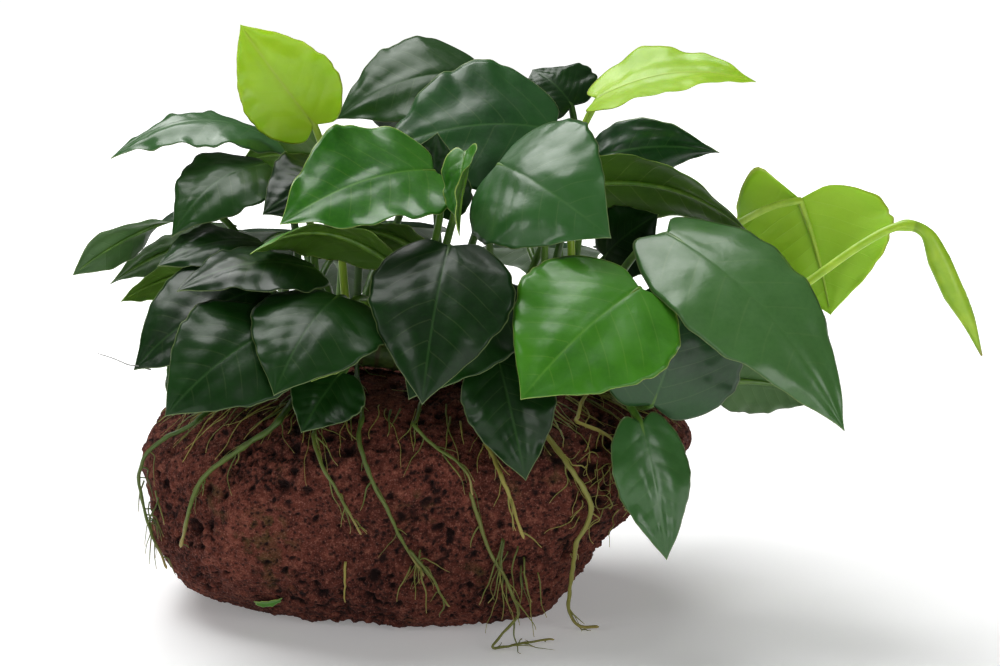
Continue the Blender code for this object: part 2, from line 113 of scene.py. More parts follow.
# ---------------------------------------------------------------- reading the CAD back
def rings_of(node, sides):
    """Rings of a lofted CAD node from its foot to its tip, and the tip itself.

    Each ring runs counterclockwise about the way to the tip. A leaf's rings start at the
    edge that its loft starts from, which shows in how the patches' diagonals meet there.
    """
    shape = bmesh.new()
    shape.from_mesh(frame["nodes"][node].data)
    bmesh.ops.remove_doubles(shape, verts=shape.verts, dist=WELD)
    for pole in shape.verts:
        if len(pole.link_edges) != sides:
            continue
        rank = {pole: 0}
        levels = [[pole]]
        while levels[-1]:
            found = []
            for vert in levels[-1]:
                for edge in vert.link_edges:
                    other = edge.other_vert(vert)
                    if other not in rank:
                        rank[other] = len(levels)
                        found.append(other)
            levels.append(found)
        levels.pop()
        if all(len(level) == sides for level in levels[1:]):
            break
    else:
        raise RuntimeError("no tip found on " + node)

    def lean(vert):
        ranks = [rank[edge.other_vert(vert)] - rank[vert] for edge in vert.link_edges]
        return ranks.count(-1) - ranks.count(1)

    rings = []
    for number in range(len(levels) - 1, 0, -1):
        after = {}
        for vert in levels[number]:
            for face in vert.link_faces:
                corners = list(face.verts)
                if sorted(rank[v] for v in corners) == [number - 1, number, number]:
                    for a, b in zip(corners, corners[1:] + corners[:1]):
                        if rank[a] == number and rank[b] == number:
                            after[a] = b
        ring = [max(levels[number], key=lean)]
        while len(ring) < sides:
            ring.append(after[ring[-1]])
        rings.append([v.co.copy() for v in ring])
    tip = pole.co.copy()
    shape.free()
    return rings, tip


def middle(ring):
    return sum(ring, Vector()) / len(ring)


class Leaf(NamedTuple):
    """The measures that a leaf was lofted from."""
    stalk: list      # four points of the stalk's middle line, from its foot
    base: Vector
    reach: Vector
    rise: Vector
    up: Vector
    width: float
    fold: float
    twist: float
    ear: float


def midrib(base, reach, rise, s):
    """Point and direction on the arched midrib at a share s of its length."""
    return base + reach * s + rise * (4 * s * (1 - s)), (reach + rise * (4 - 8 * s)).normalized()


def half_width(s):
    """Share of the greatest half width at a share s of the blade's length."""
    return sin(pi * s ** BLADE_WIDEST) ** 0.8


def read_leaf(node):
    rings, tip = rings_of(node, LEAF_SIDES)
    stalk = [middle(ring) for ring in rings[:STALK_RINGS + 1]]
    base = stalk[-1]
    reach = tip - base
    blade = rings[STALK_RINGS + 1:]
    lift = Vector()
    weight = 0
    for s, ring in zip(BLADE_STATIONS, blade):
        on_midrib = (ring[2] * 2 + ring[6]) / 3
        w = 4 * s * (1 - s)
        lift += (on_midrib - base - reach * s) * w
        weight += w * w
    rise = lift / weight
    up = rise.normalized()

    def side_to_side(i):
        """Across, along and top directions at a station, with its half width and ring."""
        s = BLADE_STATIONS[i]
        point, along = midrib(base, reach, rise, s)
        span = blade[i][4] - blade[i][0]
        across = span - along * span.dot(along)
        return point, along, across.normalized(), across.length / 2, blade[i]

    # the turn is read at the last station, and the other measures at the widest and the first
    _, along, across, _, _ = side_to_side(5)
    flat = along.cross(up).normalized()
    turn = np.arctan2(flat.cross(across).dot(along), flat.dot(across))
    point, along, across, half, ring = side_to_side(2)
    width = 2 * half / half_width(BLADE_STATIONS[2])
    top = across.cross(along)
    fold = ((ring[0] + ring[4]) / 2 - point).dot(top) / half
    point, along, _, _, ring = side_to_side(0)
    ear = (ring[0] - point).dot(along) / (ring[4] - point).dot(along) - 1
    return Leaf(stalk, base, reach, rise, up, width, fold, turn / BLADE_STATIONS[5], ear)


def read_tube(node, sides):
    """Middle line and radii of a CAD tube, from its foot to its tip."""
    rings, tip = rings_of(node, sides)
    points = [middle(ring) for ring in rings]
    radii = [sum((p - c).length for p in ring) / sides for ring, c in zip(rings, points)]
    return points, radii, tip


# ---------------------------------------------------------------- making meshes
class Skin:
    """Points, faces, finishes and values at each point of one piece, shell by shell."""

    def __init__(self):
        self.points = []
        self.faces = []
        self.finishes = []
        self.values = []
        self.count = 0

    def add(self, rings, start, end, finish, values):
        """A closed shell through rings of equally many points, between two end points.

        rings is an array (rows, around, 3), and values maps a name to (rows, around) numbers.
        """
        rows, around, _ = rings.shape
        first = self.count
        self.points.append(rings.reshape(-1, 3))
        self.points.append(np.array([start, end], float))
        index = first + np.arange(rows * around).reshape(rows, around)
        after = np.roll(index, -1, axis=1)
        quads = np.stack((index[:-1], after[:-1], after[1:], index[1:]), axis=-1).reshape(-1, 4)
        self.faces += quads.tolist()
        pole_a = first + rows * around
        pole_b = pole_a + 1
        self.faces += [(pole_a, b, a) for a, b in zip(index[0].tolist(), after[0].tolist())]
        self.faces += [(a, b, pole_b) for a, b in zip(index[-1].tolist(), after[-1].tolist())]
        patches = (rows - 1) * around
        if callable(finish):
            across = np.tile(np.arange(around), rows - 1)
            marks = [finish(k) for k in across.tolist()]
            ends = [finish(k) for k in range(around)]
            self.finishes += marks + ends + ends
        else:
            self.finishes += [finish] * (patches + 2 * around)
        named = {}
        for name, value in values.items():
            value = np.broadcast_to(value, (rows, around))
            named[name] = np.concatenate((value.ravel(), [value[0].mean(), value[-1].mean()]))
        self.values.append((rows * around + 2, named))
        self.count += rows * around + 2

    def into_object(self, name, materials):
        mesh = bpy.data.meshes.new(name)
        mesh.from_pydata(np.concatenate(self.points).tolist(), [], self.faces)
        for material in materials:
            mesh.materials.append(material)
        mesh.polygons.foreach_set("material_index", self.finishes)
        for key in sorted({key for _, named in self.values for key in named}):
            column = [named.get(key, np.zeros(count)) for count, named in self.values]
            layer = mesh.attributes.new(key, "FLOAT", "POINT")
            layer.data.foreach_set("value", np.concatenate(column).astype(np.float32))
        mesh.shade_smooth()
        thing = bpy.data.objects.new(name, mesh)
        bpy.context.scene.collection.objects.link(thing)
        return thing


def placed(piece, slot, *nodes):
    """The piece rides on the one body, and the CAD nodes that it stands for are hidden; its slot is not used."""
    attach(piece, "root")
    if nodes:
        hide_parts(*nodes)
    return piece


def smooth_through(points, step):
    """Points about a step apart on a smooth curve through the given points, and where each is.

    The places are given as a fractional number of the given points.
    """
    ends = [points[0] * 2 - points[1], *points, points[-1] * 2 - points[-2]]
    route = []
    places = []
    for number, (a, b, c, d) in enumerate(zip(ends, ends[1:], ends[2:], ends[3:])):
        pieces = max(1, round((c - b).length / step))
        for i in range(pieces):
            t = i / pieces
            route.append(0.5 * (2 * b + (c - a) * t + (2 * a - 5 * b + 4 * c - d) * t ** 2
                                + (3 * b - 3 * c + d - a) * t ** 3))
            places.append(number + t)
    route.append(points[-1])
    places.append(len(points) - 1)
    return route, places


def tube_rings(points, radii, sides, outline=None):
    """Rings of a round tube, carried along without spinning.

    outline(i, angle) gives a share of the radius, for a section that isn't round.
    """
    before = [points[0], *points[:-1]]
    after = [*points[1:], points[-1]]
    ways = [(b - a).normalized() for a, b in zip(before, after)]
    across = ways[0].orthogonal().normalized()
    rings = np.empty((len(points), sides, 3))
    for i, (point, radius, way) in enumerate(zip(points, radii, ways)):
        if i:
            across = ways[i - 1].rotation_difference(way) @ across
        across = (across - way * across.dot(way)).normalized()
        other = way.cross(across)
        for k in range(sides):
            angle = 2 * pi * k / sides
            share = outline(i, angle) if outline else 1.0
            rings[i, k] = point + (across * cos(angle) + other * sin(angle)) * (radius * share)
    return rings, ways


def smoothstep(low, high, x):
    t = np.clip((x - low) / (high - low), 0, 1)
    return t * t * (3 - 2 * t)


# ---------------------------------------------------------------- materials
class Recipe:
    """A node material under construction."""

    def __init__(self, name):
        self.material = bpy.data.materials.new(name)
        self.material.use_nodes = True
        self.nodes = self.material.node_tree.nodes
        self.links = self.material.node_tree.links
        self.shader = self.nodes["Principled BSDF"]
        self.place = self.node("ShaderNodeTexCoord").outputs["Object"]

    def node(self, kind, settings=None, **inputs):
        made = self.nodes.new(kind)
        for key, value in (settings or {}).items():
            setattr(made, key, value)
        for key, value in inputs.items():
            self.put(made.inputs[key.replace("_", " ")], value)
        return made

    def put(self, socket, value):
        if isinstance(value, bpy.types.NodeSocket):
            self.links.new(value, socket)
        else:
            socket.default_value = value

    def value(self, name):
        """A value that the mesh holds at each point."""
        made = self.node("ShaderNodeAttribute")
        made.attribute_name = name
        return made.outputs["Fac"]

    def math(self, operation, a, b=0.0):
        made = self.nodes.new("ShaderNodeMath")
        made.operation = operation
        self.put(made.inputs[0], a)
        self.put(made.inputs[1], b)
        return made.outputs[0]

    def between(self, value, low, high, out_low=0.0, out_high=1.0):
        made = self.nodes.new("ShaderNodeMapRange")
        made.interpolation_type = "SMOOTHSTEP"
        for i, number in enumerate((value, low, high, out_low, out_high)):
            self.put(made.inputs[i], number)
        return made.outputs[0]

    def noise(self, scale, detail=3.0, roughness=0.5, squash=None):
        where = self.place
        if squash:
            where = self.node("ShaderNodeMapping", Vector=where, Scale=squash).outputs[0]
        made = self.node("ShaderNodeTexNoise", Vector=where, Scale=scale, Detail=detail, Roughness=roughness)
        return made.outputs["Fac"]

    def cells(self, scale, feature="F1", randomness=1.0):
        made = self.node("ShaderNodeTexVoronoi", {"feature": feature}, Vector=self.place,
                         Scale=scale, Randomness=randomness)
        return made.outputs["Distance"]

    def mix(self, share, a, b, blend="MIX"):
        made = self.nodes.new("ShaderNodeMix")
        made.data_type = "RGBA"
        made.blend_type = blend
        self.put(made.inputs["Factor"], share)
        for socket, colour in ((made.inputs[6], a), (made.inputs[7], b)):
            self.put(socket, (*colour, 1.0) if isinstance(colour, tuple) else colour)
        return made.outputs[2]

    def bump(self, height, strength, distance, below=None):
        made = self.node("ShaderNodeBump", Height=height, Strength=strength, Distance=distance)
        if below is not None:
            self.put(made.inputs["Normal"], below)
        return made.outputs[0]

    def set(self, **inputs):
        for key, value in inputs.items():
            self.put(self.shader.inputs[key.replace("_", " ")], value)
        return self.material


def leaf_material(name, under, deep, bright, vein, rim, gloss, shine, scatter):
    """Skin of a blade: mottled between two greens, with paler veins and a painted highlight as a thin pale line along
    the margin.
    """
    r = Recipe(name)
    mottle = r.noise(55, 4, 0.55)
    tint = r.value("tint")
    # a leaf's tint below 1 is its own tone; tints above 1 are painted light that lifts the listed leaves towards their
    # bright and vein greens
    share = r.between(r.math("ADD", r.math("MULTIPLY", mottle, 0.9), r.math("MULTIPLY", tint, 0.5)), 0.35, 1.05)
    colour = r.mix(share, deep, bright)
    colour = r.mix(r.between(tint, 1.0, 2.0), colour, vein)
    fine = r.noise(700, 2)
    colour = r.mix(r.between(fine, 0.35, 0.75, 0.0, 0.22), colour, bright)
    colour = r.mix(r.between(r.value("along"), 0.0, 0.35, 0.30, 0.0), colour, bright)
    lateral = r.between(r.math("PINGPONG", r.value("vein_phase"), 0.5), 0.0, 0.055, 1.0, 0.0)
    fade = r.math("MULTIPLY", r.between(r.value("off_rim"), 1.0, 9.0), 0.10)
    colour = r.mix(r.math("MULTIPLY", lateral, fade), colour, rim)
    main = r.between(r.value("off_midrib"), 0.10, 0.60, 0.45, 0.0)
    main = r.math("MULTIPLY", main, r.between(r.value("along"), 0.75, 1.0, 1.0, 0.2))
    colour = r.mix(main, colour, vein)
    # painted highlight: a thin pale line along the margin stands in for the light that the leaf's edge catches
    edge = r.between(r.value("off_rim"), 0.12, 0.45, 0.8, 0.0)
    colour = r.mix(edge, colour, rim)
    rough = r.between(r.noise(160, 3), 0.3, 0.7, gloss, gloss + 0.14)
    grain = r.bump(r.cells(2600), 0.10, 0.00008)
    ripple = r.bump(r.noise(330, 3), 0.22, 0.0005, grain)
    shallow = r.bump(lateral, 0.25 if under else -0.25, 0.0003, ripple)
    r.set(Base_Color=colour, Roughness=rough, Normal=shallow, Specular_IOR_Level=shine)
    r.set(Coat_Weight=0.0 if under else 0.4 * shine, Coat_Roughness=0.14)
    r.set(Subsurface_Weight=scatter, Subsurface_Radius=(0.6, 1.0, 0.15), Subsurface_Scale=0.0012)
    return r.material


def stalk_material(name, green, pale):
    r = Recipe(name)
    streak = r.noise(260, 3, 0.5, (1.0, 1.0, 0.25))
    colour = r.mix(r.between(streak, 0.3, 0.7), green, pale)
    colour = r.mix(r.between(r.value("along"), 0.0, 0.12, 0.5, 0.0), colour, (0.10, 0.075, 0.02))
    r.set(Base_Color=colour, Roughness=r.between(r.noise(120), 0.3, 0.7, 0.32, 0.5))
    r.set(Normal=r.bump(streak, 0.2, 0.0004), Subsurface_Weight=0.15, Subsurface_Radius=(0.6, 1.0, 0.15))
    r.set(Subsurface_Scale=0.001)
    return r.material


BLADES = {
    # deep, bright, vein, rim (the painted highlight along the margin, and the paler lateral veins), gloss, shine,
    # scatter
    "leaf_dark": ((0.0022, 0.014, 0.0018), (0.0075, 0.040, 0.0045), (0.030, 0.085, 0.018), (0.16, 0.22, 0.08), 0.30, 0.22, 0.0),
    "leaf_mid": ((0.0060, 0.040, 0.0075), (0.020, 0.092, 0.017), (0.055, 0.150, 0.035), (0.20, 0.28, 0.10), 0.28, 0.42, 0.0),
    "leaf_fresh": ((0.014, 0.100, 0.0035), (0.055, 0.225, 0.009), (0.110, 0.290, 0.028), (0.32, 0.44, 0.10), 0.30, 0.36, 0.1),
    "leaf_young": ((0.250, 0.450, 0.010), (0.380, 0.590, 0.018), (0.420, 0.600, 0.070), (0.46, 0.60, 0.12), 0.36, 0.34, 0.3),
}
UNDERSIDES = {
    "leaf_dark": ((0.008, 0.028, 0.004), (0.022, 0.060, 0.010), (0.050, 0.110, 0.025), (0.16, 0.22, 0.08), 0.42, 0.25, 0.0),
    "leaf_mid": ((0.032, 0.085, 0.022), (0.070, 0.150, 0.042), (0.120, 0.220, 0.065), (0.20, 0.28, 0.10), 0.40, 0.30, 0.0),
    "leaf_fresh": ((0.026, 0.075, 0.006), (0.070, 0.160, 0.014), (0.130, 0.250, 0.035), (0.32, 0.44, 0.10), 0.40, 0.30, 0.1),
    "leaf_young": ((0.210, 0.400, 0.012), (0.310, 0.520, 0.022), (0.420, 0.600, 0.110), (0.46, 0.60, 0.12), 0.42, 0.30, 0.3),
}
STALKS = {
    "leaf_dark": ((0.024, 0.075, 0.006), (0.060, 0.140, 0.014)),
    "leaf_mid": ((0.040, 0.115, 0.008), (0.090, 0.190, 0.020)),
    "leaf_fresh": ((0.060, 0.160, 0.008), (0.130, 0.260, 0.020)),
    "leaf_young": ((0.230, 0.400, 0.012), (0.340, 0.500, 0.035)),
}


def leaf_materials():
    made = {}
    for age in BLADES:
        upper = leaf_material(age + "_upper", False, *BLADES[age])
        lower = leaf_material(age + "_lower", True, *UNDERSIDES[age])
        made[age] = [upper, lower, stalk_material(age + "_stalk", *STALKS[age])]
    return made


# ---------------------------------------------------------------- leaves
def blade_shell(skin, leaf, seed, wave, tint, relief=1.0):
    """The blade as one closed thin sheet: quilted between its veins and wavy at its margin."""
    random = np.random.default_rng(seed)
    length = leaf.reach.length
    t = np.arange(1, BLADE_ROWS) / BLADE_ROWS
    s_rows = 0.5 * (1 - np.cos(pi * t)) * 0.55 + t * 0.45
    c = np.linspace(-1, 1, BLADE_COLUMNS + 1)
    columns = np.sign(c) * np.abs(c) ** COLUMN_CROWDING
    u_ring = np.concatenate((columns, columns[-2:0:-1]))
    side = np.concatenate((np.ones(BLADE_COLUMNS + 1), -np.ones(BLADE_COLUMNS - 1)))
    side[0] = 0
    side[BLADE_COLUMNS] = 0

    s = s_rows[:, None] * np.ones_like(u_ring)[None, :]
    u = np.ones_like(s_rows)[:, None] * u_ring[None, :]
    edge = np.abs(u)
    lean = random.uniform(-0.05, 0.05)
    half = leaf.width / 2 * np.sin(pi * s ** BLADE_WIDEST) ** (0.8 + 0.25 * s ** 6)
    half = half * (1 + lean * np.sign(u) * edge)
    wobble = random.uniform(0, 2 * pi, 4)
    side_shift = np.where(u < 0, wobble[0], wobble[1])
    half = half * (1 + 0.014 * np.sin(2 * pi * 5.3 * s + side_shift) + 0.008 * np.sin(2 * pi * 11 * s + wobble[2]))
    sweep = LOBE_SWEEP * length * np.exp(-s / LOBE_FADE) * (1 - np.exp(-s / SINUS))
    sweep = sweep * (1 + leaf.ear * np.maximum(0, -u))

    # height over the flat blade
    lateral = half * edge
    phase = VEINS * (s - (0.50 * edge + 0.22 * edge ** 2) * half / length)
    phase = phase + 0.5 * smoothstep(-0.04, 0.04, u) + wobble[3]
    valley = 2 * np.abs(phase - np.round(phase))
    quilt = (1 - (1 - valley) ** 2.4) - 0.6
    quilt = quilt * smoothstep(0.02, 0.22, edge) * (1 - smoothstep(0.70, 1.0, edge))
    quilt = quilt * smoothstep(0.0, 0.12, s) * (1 - smoothstep(0.75, 1.0, s))
    turns = random.uniform(2.2, 3.4)
    waves = np.sin(2 * pi * turns * s + side_shift) + 0.45 * np.sin(2 * pi * turns * 2.3 * s + wobble[2])
    waves = waves * edge ** 2.6 * smoothstep(0.0, 0.2, s) * (1 - smoothstep(0.8, 1.0, s))
    slow = np.sin(2 * pi * (0.9 * s + 0.35 * u) + wobble[3]) * edge * np.sin(pi * s)
    swell = np.sin(2 * pi * (1.3 * s + 0.8 * u) + wobble[1]) * np.sin(2 * pi * (0.7 * s - 0.55 * u) + wobble[0])
    swell = swell * smoothstep(0.0, 0.25, edge) * np.sin(pi * s)
    height = leaf.fold * half * u ** 2 + relief * MM * (0.17 * quilt + 0.65 * swell) + wave * MM * (waves + 0.7 * slow)
    groove = 0.22 * MM * np.exp(-(lateral / (0.7 * MM)) ** 2) * (1 - s)
    thickness = SKIN * (1 - 0.45 * s) * (1 - 0.7 * edge ** 5)
    height = height + side * thickness - np.where(side > 0, groove, 0)

    rings = np.empty((len(s_rows), len(u_ring), 3))
    for i, station in enumerate(s_rows.tolist()):
        point, along = midrib(leaf.base, leaf.reach, leaf.rise, station)
        top = (leaf.up - along * leaf.up.dot(along)).normalized()
        top = Quaternion(along, leaf.twist * station) @ top
        across = along.cross(top).normalized()
        rings[i] = (np.array(point) + np.outer(u[i] * half[i], across) + np.outer(height[i], top)
                    - np.outer(sweep[i] * u[i] ** 2, along))

    values = {
        "along": s,
        "off_midrib": lateral / MM,
        "off_rim": (1 - edge) * half / MM,
        "vein_phase": phase,
        "tint": tint,
    }
    skin.add(rings, leaf.base, leaf.base + leaf.reach, lambda k: 0 if k < BLADE_COLUMNS else 1, values)


def stalk_shell(skin, leaf):
    """The stalk, which runs on under the blade as its midrib."""
    p0, p1, p2, p3 = leaf.stalk
    points = []
    radii = []
    along_leaf = []
    start = (p1 - p0).normalized()
    points.append(p0 - start * (1.6 * MM))
    radii.append(2.2 * MM)
    along_leaf.append(0.0)
    _, way = midrib(leaf.base, leaf.reach, leaf.rise, 0)
    top = (leaf.up - way * leaf.up.dot(way)).normalized()
    for i in range(STALK_STEPS + 1):
        t = i / STALK_STEPS
        point = (p0 * (-4.5 * (t - 1 / 3) * (t - 2 / 3) * (t - 1)) + p1 * (13.5 * t * (t - 2 / 3) * (t - 1))
                 - p2 * (13.5 * t * (t - 1 / 3) * (t - 1)) + p3 * (4.5 * t * (t - 1 / 3) * (t - 2 / 3)))
        sunk = float(smoothstep(0.82, 1.0, t)) * 0.8 * MM
        points.append(point - top * sunk)
        swell = 1.15 - 0.25 * t + 0.45 * exp(-t / 0.06) + 0.10 * exp(-((t - 0.94) / 0.04) ** 2)
        radii.append(1.30 * MM * swell)
        along_leaf.append(t)
    for i in range(1, MIDRIB_STEPS):
        s = (i / MIDRIB_STEPS) ** 1.15 * 0.97
        point, way = midrib(leaf.base, leaf.reach, leaf.rise, s)
        top = (leaf.up - way * leaf.up.dot(way)).normalized()
        top = Quaternion(way, leaf.twist * s) @ top
        radius = (1.05 * (1 - s) ** 0.8 + 0.10) * MM
        points.append(point - top * (radius - 0.10 * MM) * (0.75 + 0.25 * min(1.0, s / 0.1)))
        radii.append(radius)
        along_leaf.append(1.0)
    rings, ways = tube_rings(points, radii, STALK_SIDES)
    values = {"along": np.array(along_leaf)[:, None]}
    skin.add(rings, points[0], points[-1] + ways[-1] * radii[-1], 2, values)


def grow_leaves(materials):
    nodes = [node for node, slot in SLOTS.items() if node.startswith("leaf_") and node != "leaf_rolled"]
    for number, node in enumerate(nodes):
        leaf = read_leaf(node)
        skin = Skin()
        tint = TINTS.get(node, (number * GOLDEN) % 1.0)
        blade_shell(skin, leaf, 100 + number, WAVES.get(node, USUAL_WAVE), tint)
        stalk_shell(skin, leaf)
        placed(skin.into_object(node + "_grown", materials[SLOTS[node]]), SLOTS[node], node)


def furl_leaf(materials):
    """The rolled new leaf: a stalk that swells to a spindle with the blade's edge wound round it."""
    points, radii, tip = read_tube("leaf_rolled", ROLLED_SIDES)
    last = len(points)
    route, places = smooth_through([*points, tip], 1.2 * MM)
    widths = np.interp(places, range(last + 1), [*radii, 0.35 * MM])
    stem = radii[1]
    wound = np.clip((widths - stem) / (max(radii) - stem), 0, 1)
    blade_start = min(i for i, w in enumerate(wound) if w > 0.1)
    length = len(route) - blade_start
    share = np.clip((np.arange(len(route)) - blade_start) / length, 0, 1)

    def outline(i, angle):
        turn = (angle / (2 * pi) - 0.5 * share[i] + 0.2) % 1.0
        fluting = 0.03 * sin(3 * angle + 6 * share[i])
        return 1 + float(wound[i]) * (0.26 * (turn - 0.5) + fluting)

    sides = 48
    swollen = widths * (1 + 0.35 * np.exp(-((np.arange(len(route)) - blade_start + 2) / 2.0) ** 2))
    rings, ways = tube_rings(route, swollen.tolist(), sides, outline)
    angles = np.arange(sides) / sides
    turn = (angles[None, :] - 0.5 * share[:, None] + 0.2) % 1.0
    values = {
        "along": np.clip(share, 0, 1)[:, None],
        "lap": np.minimum(turn, 1 - turn) * wound[:, None] + (1 - wound[:, None]),
    }
    skin = Skin()
    skin.add(rings, route[0], route[-1] + ways[-1] * 0.4 * MM, 0, values)
    r = Recipe("leaf_furled")
    colour = r.mix(r.between(r.noise(140, 3), 0.3, 0.7), (0.270, 0.480, 0.016), (0.400, 0.600, 0.035))
    # painted shade: a darker green along the seam where the wound edge laps over the blade
    colour = r.mix(r.between(r.value("lap"), 0.0, 0.07, 0.6, 0.0), colour, (0.120, 0.260, 0.012))
    joint = r.math("MULTIPLY", r.between(r.value("along"), 0.0, 0.10, 1.0, 0.0), r.between(r.value("along"), 0.0, 0.02))
    colour = r.mix(r.math("MULTIPLY", joint, 0.6), colour, (0.110, 0.210, 0.015))
    colour = r.mix(r.between(r.value("along"), 0.88, 1.0, 0.0, 0.9), colour, (0.20, 0.13, 0.03))
    r.set(Base_Color=colour, Roughness=0.38, Normal=r.bump(r.noise(400, 3), 0.25, 0.0004))
    r.set(Subsurface_Weight=0.3, Subsurface_Radius=(0.6, 1.0, 0.15), Subsurface_Scale=0.001)
    placed(skin.into_object("leaf_rolled_grown", [r.material]), SLOTS["leaf_rolled"], "leaf_rolled")


# ---------------------------------------------------------------- stone
VOXEL = 0.98 * MM
LUMP_SIZE = 15 * MM
CRUMB_SIZE = 4.4 * MM       # width of the rounded crumbs that the surface is made of
GRIT_SIZE = 2.0 * MM
WORN_SIZE = 24 * MM         # size of the smoother patches between the porous ones
# size of the cells that may each hold a pore, share of them that do, radius and depth
PORES = ((9.0 * MM, 0.40, 0.36, 2.6 * MM), (4.8 * MM, 0.55, 0.40, 1.7 * MM), (2.9 * MM, 0.50, 0.44, 0.9 * MM))


def stone_depth(point):
    """How far the surface stands out at a point, and how deep in a pore or a crevice it is, which the stone's colour
    darkens as painted shade.
    """
    bent = point + noise.noise_vector(point / (3.0 * MM)) * (0.9 * MM)
    lump = noise.fractal(point / LUMP_SIZE, 0.9, 2.0, 3)
    near, _ = noise.voronoi(bent / CRUMB_SIZE)
    crumb = min(1.0, (near[1] - near[0]) * 2.2)
    grit = noise.fractal(point / GRIT_SIZE, 0.8, 2.0, 2)
    porous = min(1.0, max(0.25, 0.62 + 1.5 * noise.noise(point / WORN_SIZE)))
    height = 1.3 * MM * lump + 1.3 * MM * porous * (crumb - 0.6) + 0.6 * MM * grit
    pit = 0.7 * porous * max(0.0, 1 - crumb * 2.6)
    for size, filled, radius, depth in PORES:
        distances, places = noise.voronoi(bent / size)
        chance = noise.cell(places[0] * 17.3 + Vector((size / MM, 0, 0))) % 1.0
        if chance < filled * (0.35 + 0.85 * porous):
            reach = radius * min(1.5, 0.6 + 0.9 * chance / filled)
            inside = min(1.0, max(0.0, 1.3 - 1.3 * distances[0] / reach))
            hole = inside * inside * (3 - 2 * inside)
            height -= depth * hole
            pit = max(pit, hole)
    return height, pit


def make_stone():
    shape = bmesh.new()
    shape.from_mesh(frame["nodes"]["stone"].data)
    bmesh.ops.remove_doubles(shape, verts=shape.verts, dist=WELD)
    mesh = bpy.data.meshes.new("stone_form")
    shape.to_mesh(mesh)
    shape.free()
    form = bpy.data.objects.new("stone_form", mesh)
    bpy.context.scene.collection.objects.link(form)
    rounding = form.modifiers.new("rounding", "SUBSURF")
    rounding.levels = 3
    rounding.render_levels = 3
    remesh = form.modifiers.new("remesh", "REMESH")
    remesh.mode = "VOXEL"
    remesh.voxel_size = VOXEL
    depsgraph = bpy.context.evaluated_depsgraph_get()
    fine = bpy.data.meshes.new_from_object(form.evaluated_get(depsgraph))
    bpy.data.objects.remove(form, do_unlink=True)

    points = [v.co.copy() for v in fine.vertices]
    normals = [v.vector.copy() for v in fine.vertex_normals]
    pits = np.zeros(len(points), np.float32)
    outer = []
    places = np.empty((len(points), 3), np.float32)
    for i, (point, normal) in enumerate(zip(points, normals)):
        height, pits[i] = stone_depth(point)
        outer.append(point + normal * max(height, 0.5 * MM))
        moved = point + normal * height
        moved.z = max(moved.z, 0.0)
        places[i] = moved
    fine.vertices.foreach_set("co", places.ravel())
    layer = fine.attributes.new("pit", "FLOAT", "POINT")
    layer.data.foreach_set("value", pits)
    fine.shade_smooth()
    fine.name = "stone_porous"
    fine.materials.clear()
    fine.materials.append(stone_material())
    stone = bpy.data.objects.new("stone_porous", fine)
    bpy.context.scene.collection.objects.link(stone)
    placed(stone, "stone", "stone")
    faces = [tuple(face.vertices) for face in fine.polygons]
    return BVHTree.FromPolygons(outer, faces)


def stone_material():
    r = Recipe("lava_stone")
    broad = r.noise(28, 4, 0.6)
    fine = r.noise(420, 5, 0.65)
    patch = r.noise(130, 4, 0.6)
    colour = r.mix(r.between(broad, 0.30, 0.70), (0.062, 0.014, 0.009), (0.125, 0.032, 0.020))
    colour = r.mix(r.between(patch, 0.48, 0.72, 0.0, 0.75), colour, (0.200, 0.056, 0.036))
    # painted light and shade: where the fine bumps stand up the stone is lighter, and in their hollows it is nearly
    # black
    colour = r.mix(r.between(fine, 0.50, 0.72, 0.0, 0.75), colour, (0.250, 0.085, 0.055))
    colour = r.mix(r.between(fine, 0.30, 0.50, 0.88, 0.0), colour, (0.013, 0.004, 0.003))
    crystals = r.noise(1700, 2, 0.5)
    colour = r.mix(r.between(crystals, 0.56, 0.72, 0.0, 0.6), colour, (0.300, 0.130, 0.095))
    colour = r.mix(r.between(crystals, 0.30, 0.45, 0.6, 0.0), colour, (0.020, 0.006, 0.004))
    speck = r.between(r.cells(900), 0.08, 0.20, 0.5, 0.0)
    colour = r.mix(r.math("MULTIPLY", speck, r.between(r.noise(90), 0.45, 0.6)), colour, (0.280, 0.140, 0.105))
    moss = r.math("MULTIPLY", r.between(r.noise(34, 3), 0.56, 0.70), r.between(r.noise(240, 3), 0.45, 0.62))
    colour = r.mix(r.math("MULTIPLY", moss, 0.5), colour, (0.036, 0.044, 0.008))
    # painted shade: pores and crevices darkened almost to black by how deep they are
    colour = r.mix(r.between(r.value("pit"), 0.10, 0.80, 0.0, 0.92), colour, (0.005, 0.002, 0.002))
    holes = r.between(r.cells(520), 0.14, 0.45)
    # painted shade: the small pits that the bump below sinks are darkened
    colour = r.mix(r.between(holes, 0.0, 0.6, 0.75, 0.0), colour, (0.009, 0.004, 0.004))
    pitted = r.bump(holes, 0.8, 0.0008)
    grainy = r.bump(r.noise(1300, 4, 0.7), 0.8, 0.0005, pitted)
    rough = r.bump(fine, 0.9, 0.0012, grainy)
    return r.set(Base_Color=colour, Roughness=0.92, Normal=rough, Specular_IOR_Level=0.2)


# ---------------------------------------------------------------- roots
def root_material(name, young, old, tip):
    """Root skin: one colour where it leaves the stem, another further on, a third at its tip."""
    r = Recipe(name)
    mottle = r.noise(300, 3, 0.6)
    along = r.math("ADD", r.value("along"), r.math("MULTIPLY", r.math("SUBTRACT", mottle, 0.5), 0.5))
    colour = r.mix(r.between(along, 0.15, 0.85), young, old)
    colour = r.mix(r.between(r.value("along"), 0.86, 1.0), colour, tip)
    colour = r.mix(r.between(r.noise(900, 2), 0.5, 0.75, 0.0, 0.45), colour, (0.045, 0.030, 0.010))
    colour = r.mix(r.between(r.value("tint"), 0.0, 1.0, 0.0, 0.75), colour, (0.340, 0.290, 0.055))
    r.set(Base_Color=colour, Roughness=r.between(mottle, 0.3, 0.7, 0.40, 0.60))
    r.set(Normal=r.bump(mottle, 0.4, 0.0004))
    return r.material


